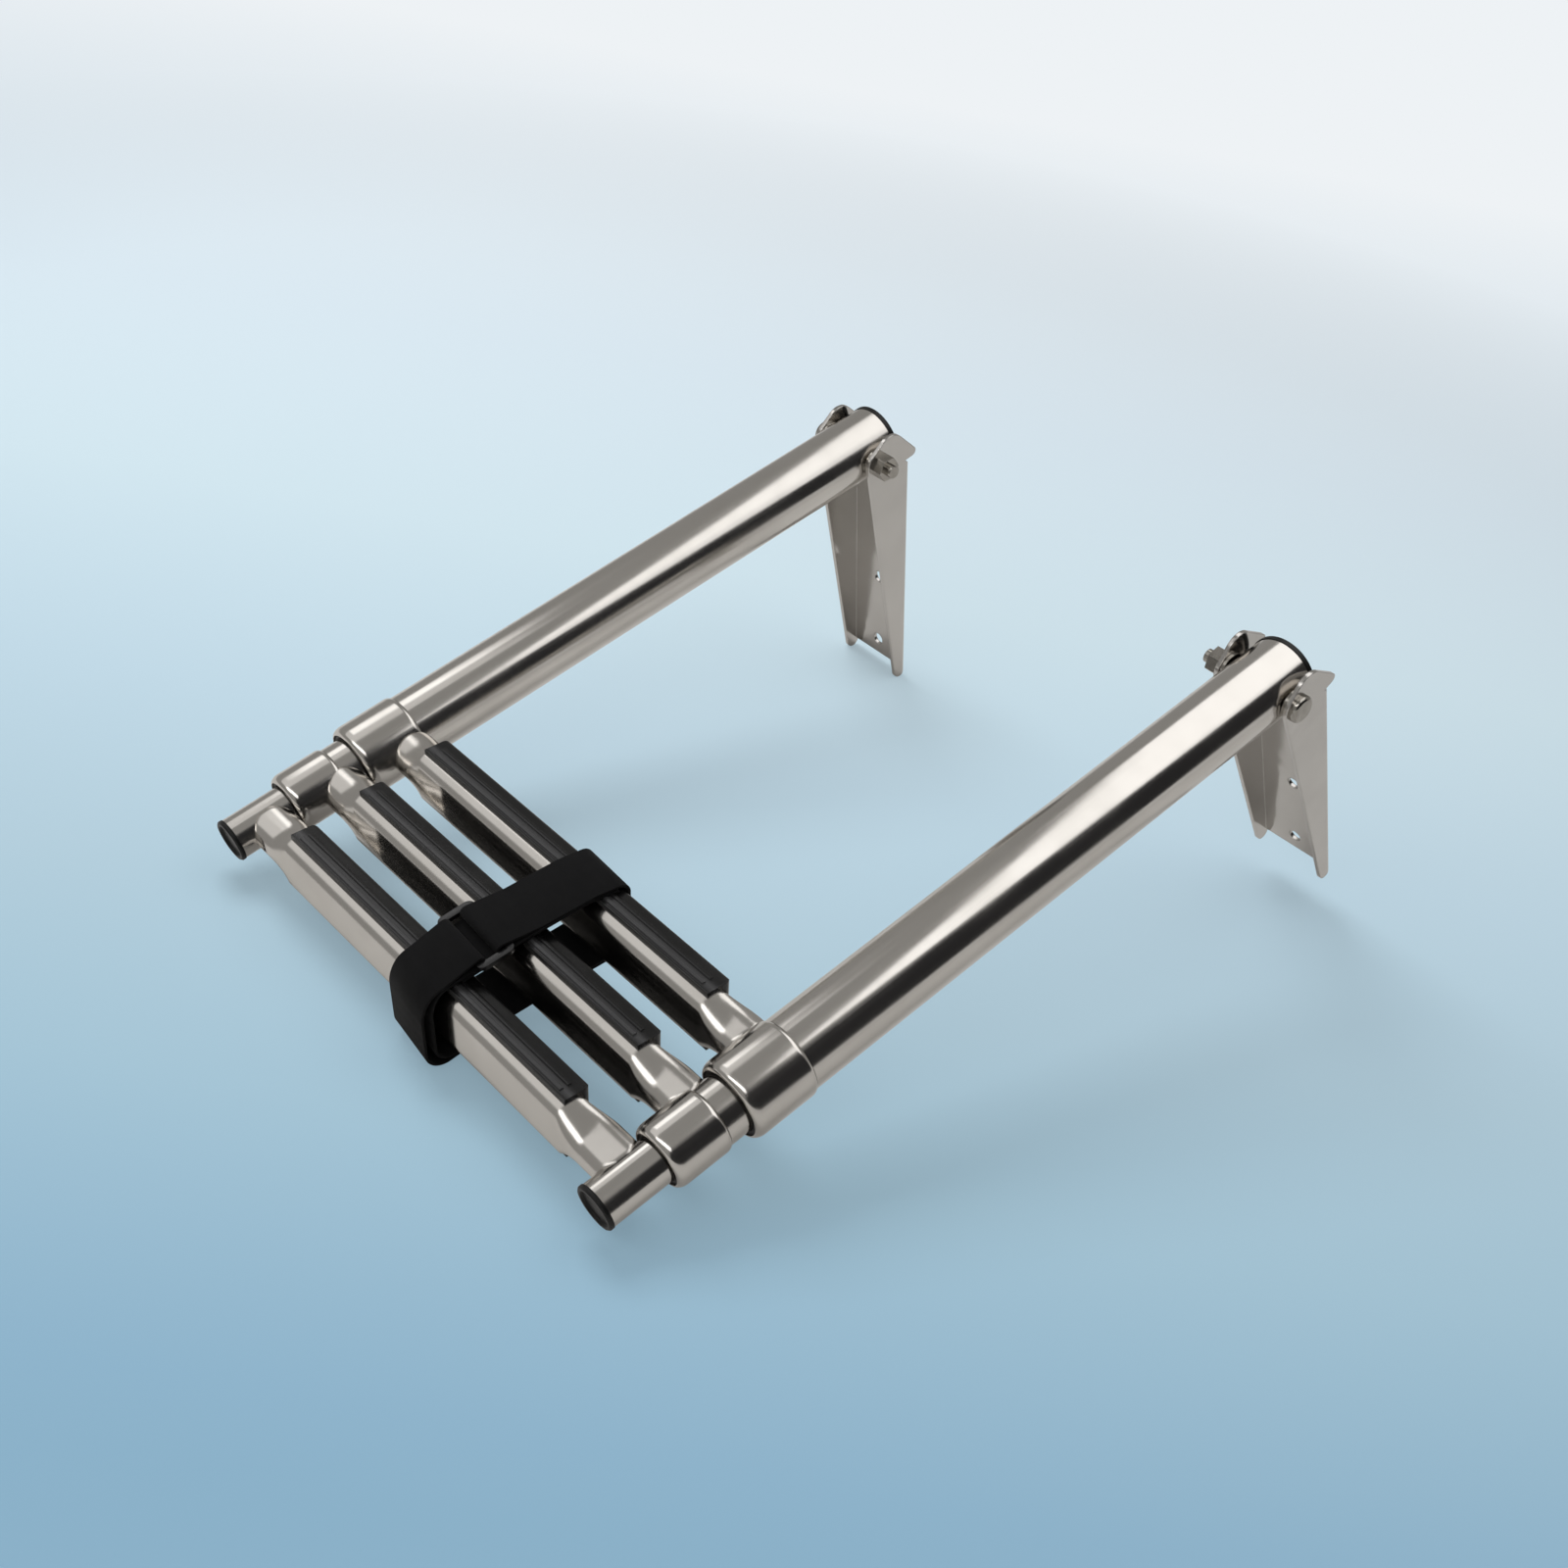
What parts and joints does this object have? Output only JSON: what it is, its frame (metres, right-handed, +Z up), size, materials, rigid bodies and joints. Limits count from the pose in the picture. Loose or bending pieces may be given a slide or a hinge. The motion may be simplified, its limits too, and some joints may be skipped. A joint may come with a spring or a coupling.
{
  "type": "folding boat ladder",
  "caption": "Folded telescoping boarding ladder of polished tube with padded steps, held closed by a strap, hinged on U-shaped transom brackets.",
  "frame": {"origin": "on the flat back face of the left bracket, in the middle of its plate", "axes": "+Y out of the back face towards the transom, +Z up along the left bracket's plate, +X from the left leg to the right one"},
  "size_m": [0.3052, 0.4218, 0.1609],
  "materials": {
    "polished_steel": "mirror polished",
    "bracket_steel": "bright pressed sheet",
    "bolt_steel": "plain turned",
    "black_plastic": "moulded satin",
    "tread_plastic": "ribbed satin",
    "strap_webbing": "hook and loop webbing"
  },
  "bodies": {
    "left_bracket": {"left_bracket": "bracket_steel", "left_hinge_bolt": "bolt_steel", "left_hinge_nut": "bolt_steel", "left_outer_washer": "bolt_steel", "left_inner_washer": "bolt_steel"},
    "upper_section": {"left_outer_tube": "polished_steel", "left_top_cap": "black_plastic", "left_upper_ferrule": "polished_steel", "left_upper_bushing": "black_plastic", "right_outer_tube": "polished_steel", "right_top_cap": "black_plastic", "right_upper_ferrule": "polished_steel", "right_upper_bushing": "black_plastic", "upper_step": "polished_steel", "upper_tread_pad": "tread_plastic", "strap": "strap_webbing", "strap_ring": "black_plastic"},
    "right_bracket": {"right_bracket": "bracket_steel", "right_hinge_bolt": "bolt_steel", "right_hinge_nut": "bolt_steel", "right_outer_washer": "bolt_steel", "right_inner_washer": "bolt_steel"},
    "middle_section": {"left_middle_tube": "polished_steel", "left_middle_ferrule": "polished_steel", "left_middle_bushing": "black_plastic", "right_middle_tube": "polished_steel", "right_middle_ferrule": "polished_steel", "right_middle_bushing": "black_plastic", "middle_step": "polished_steel", "middle_tread_pad": "tread_plastic"},
    "lower_section": {"left_inner_tube": "polished_steel", "left_end_cap": "black_plastic", "right_inner_tube": "polished_steel", "right_end_cap": "black_plastic", "lower_step": "polished_steel", "lower_tread_pad": "tread_plastic"}
  },
  "joints": [
    {"name": "ladder_hinge", "type": "hinge", "parent": "left_bracket", "child": "upper_section", "pos_m": [0, -0.0207, 0.0775], "axis": [1, 0, 0], "range_deg": [-96, 82]},
    {"name": "right_bracket_hinge", "type": "hinge", "parent": "upper_section", "child": "right_bracket", "pos_m": [0.2592, -0.0207, 0.0775], "axis": [1, 0, 0], "range_deg": [-96, 80]},
    {"name": "middle_slide", "type": "slide", "parent": "upper_section", "child": "middle_section", "axis": [0, -0.9942, -0.108], "range_m": [0, 0.245], "deforming": ["strap"]},
    {"name": "lower_slide", "type": "slide", "parent": "middle_section", "child": "lower_section", "axis": [0, -0.9942, -0.108], "range_m": [0, 0.245], "deforming": ["strap"]}
  ]
}
